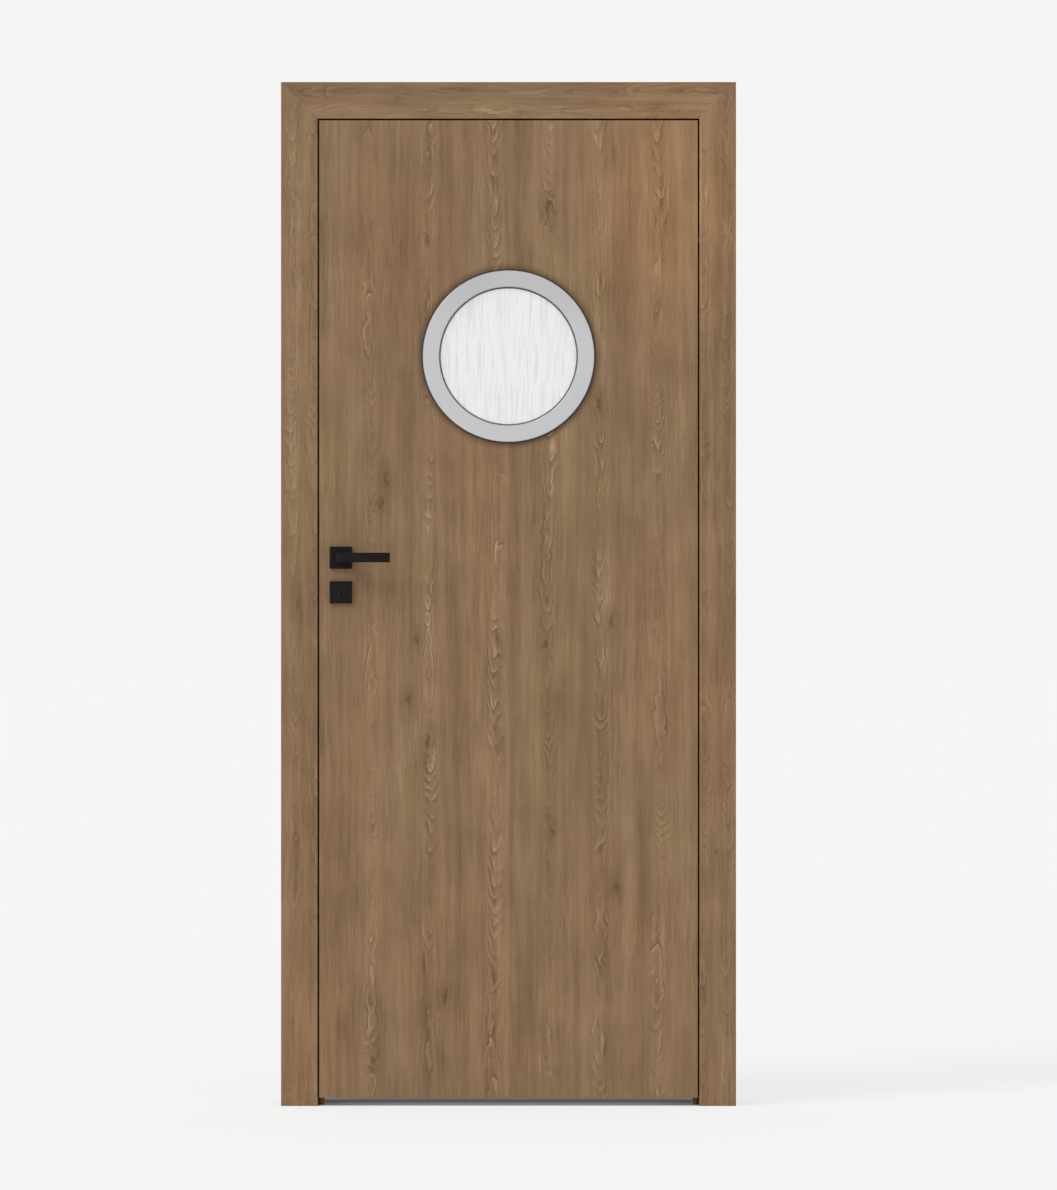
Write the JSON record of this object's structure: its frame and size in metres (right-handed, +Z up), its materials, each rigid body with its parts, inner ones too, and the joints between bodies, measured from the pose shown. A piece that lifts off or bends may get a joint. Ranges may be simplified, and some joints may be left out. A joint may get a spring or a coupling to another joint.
{
  "type": "interior door",
  "caption": "Flush wood-grain interior door in an architrave frame, with a round glazed opening, lever handle, key rose, magnetic-latch lock and concealed link hinges.",
  "frame": {"origin": "on the finished floor, at the middle of the doorway's width and of the wall's thickness", "axes": "+Z up, +X towards the hinge side, +Y from the pull side into the wall"},
  "size_m": [0.945, 0.19, 2.1265],
  "materials": {
    "wood_decor": "matt oak-grain decor, fine straight grain",
    "chipboard": "raw pressed chipboard, inside the leaf",
    "ring_metal": "satin anodised",
    "patterned_glass": "white obscured glass with an upright rippled pattern",
    "brown_seal": "matt brown elastomer",
    "rubber": "matt dark elastomer",
    "black_metal": "matt black powder coat",
    "black_lock_metal": "black satin",
    "base_plastic": "moulded nylon",
    "steel": "zinc-plated steel",
    "hinge_metal": "satin die-cast alloy"
  },
  "bodies": {
    "frame": {"jamb_lock_side": "wood_decor", "jamb_hinge_side": "wood_decor", "frame_head": "wood_decor", "front_architrave_left": "wood_decor", "front_architrave_right": "wood_decor", "front_architrave_head": "wood_decor", "back_architrave_left": "wood_decor", "back_architrave_right": "wood_decor", "back_architrave_head": "wood_decor", "frame_seal": "brown_seal", "strike_plate": "black_lock_metal", "frame_wood_screws": "steel", "corner_screws": "steel", "hinge_frame_housing_lower": "hinge_metal", "hinge_frame_housing_upper": "hinge_metal", "hinge_frame_pins": "steel"},
    "leaf": {"front_skin": "wood_decor", "back_skin": "wood_decor", "lock_stile": "wood_decor", "hinge_stile": "wood_decor", "top_rail": "wood_decor", "bottom_rail": "wood_decor", "leaf_core": "chipboard", "porthole_front_ring": "ring_metal", "porthole_back_ring": "ring_metal", "porthole_glass": "patterned_glass", "porthole_front_gasket": "rubber", "porthole_back_gasket": "rubber", "porthole_flange_gaskets": "rubber", "porthole_screws": "steel", "lock_case": "steel", "lock_cover": "steel", "lock_forend": "black_lock_metal", "handle_rose_front": "black_metal", "handle_rose_back": "black_metal", "handle_rose_bases": "base_plastic", "key_rose_front": "black_metal", "key_rose_back": "black_metal", "key_rose_bases": "base_plastic", "rose_bolts": "steel", "leaf_wood_screws": "steel", "hinge_leaf_housing_lower": "hinge_metal", "hinge_leaf_housing_upper": "hinge_metal", "hinge_leaf_pins": "steel"},
    "frame_arms": {"hinge_frame_arm_lower": "hinge_metal", "hinge_frame_arm_upper": "hinge_metal", "hinge_arm_pins": "steel"},
    "frame_links": {"hinge_frame_link_lower": "hinge_metal", "hinge_frame_link_upper": "hinge_metal"},
    "leaf_arms": {"hinge_leaf_arm_lower": "hinge_metal", "hinge_leaf_arm_upper": "hinge_metal", "hinge_link_pins": "steel"},
    "leaf_links": {"hinge_leaf_link_lower": "hinge_metal", "hinge_leaf_link_upper": "hinge_metal"},
    "handle": {"lever_front": "black_metal", "lever_back": "black_metal", "spindle": "steel", "lock_follower": "steel"},
    "latch": {"latch_bolt": "black_lock_metal"},
    "bolt": {"dead_bolt": "black_lock_metal"}
  },
  "joints": [
    {"name": "leaf_swing", "type": "hinge", "parent": "frame", "child": "leaf", "pos_m": [0.39475, -0.07, 0.257], "axis": [0, 0, 1], "range_deg": [0, 110]},
    {"name": "frame_arm_turn", "type": "hinge", "parent": "frame", "child": "frame_arms", "pos_m": [0.40275, -0.056, 0.257], "axis": [0, 0, 1], "range_deg": [0, 110]},
    {"name": "frame_link_turn", "type": "hinge", "parent": "frame", "child": "frame_links", "pos_m": [0.39975, -0.0486, 0.257], "axis": [0, 0, 1], "range_deg": [0, 110]},
    {"name": "leaf_arm_turn", "type": "hinge", "parent": "leaf", "child": "leaf_arms", "pos_m": [0.38675, -0.056, 0.257], "axis": [0, 0, 1], "range_deg": [-110, 0]},
    {"name": "leaf_link_turn", "type": "hinge", "parent": "leaf", "child": "leaf_links", "pos_m": [0.38975, -0.0486, 0.257], "axis": [0, 0, 1], "range_deg": [-110, 0]},
    {"name": "handle_turn", "type": "hinge", "parent": "leaf", "child": "handle", "pos_m": [-0.348, -0.046, 1.1387], "axis": [0, 1, 0], "range_deg": [0, 40], "stiffness_Nm_per_rad": 1.2, "springref_deg": -20.05},
    {"name": "latch_slide", "type": "slide", "parent": "leaf", "child": "latch", "axis": [-1, 0, 0], "range_m": [0, 0.011], "stiffness_N_per_m": 40, "springref_m": -0.01},
    {"name": "bolt_slide", "type": "slide", "parent": "leaf", "child": "bolt", "axis": [-1, 0, 0], "range_m": [0, 0.014]}
  ],
  "couplings": [
    {"joint": "frame_arm_turn", "follows": "leaf_swing", "ratio": 1},
    {"joint": "frame_link_turn", "follows": "leaf_swing", "ratio": 1},
    {"joint": "leaf_arm_turn", "follows": "leaf_swing", "ratio": -1},
    {"joint": "leaf_link_turn", "follows": "leaf_swing", "ratio": -1}
  ]
}
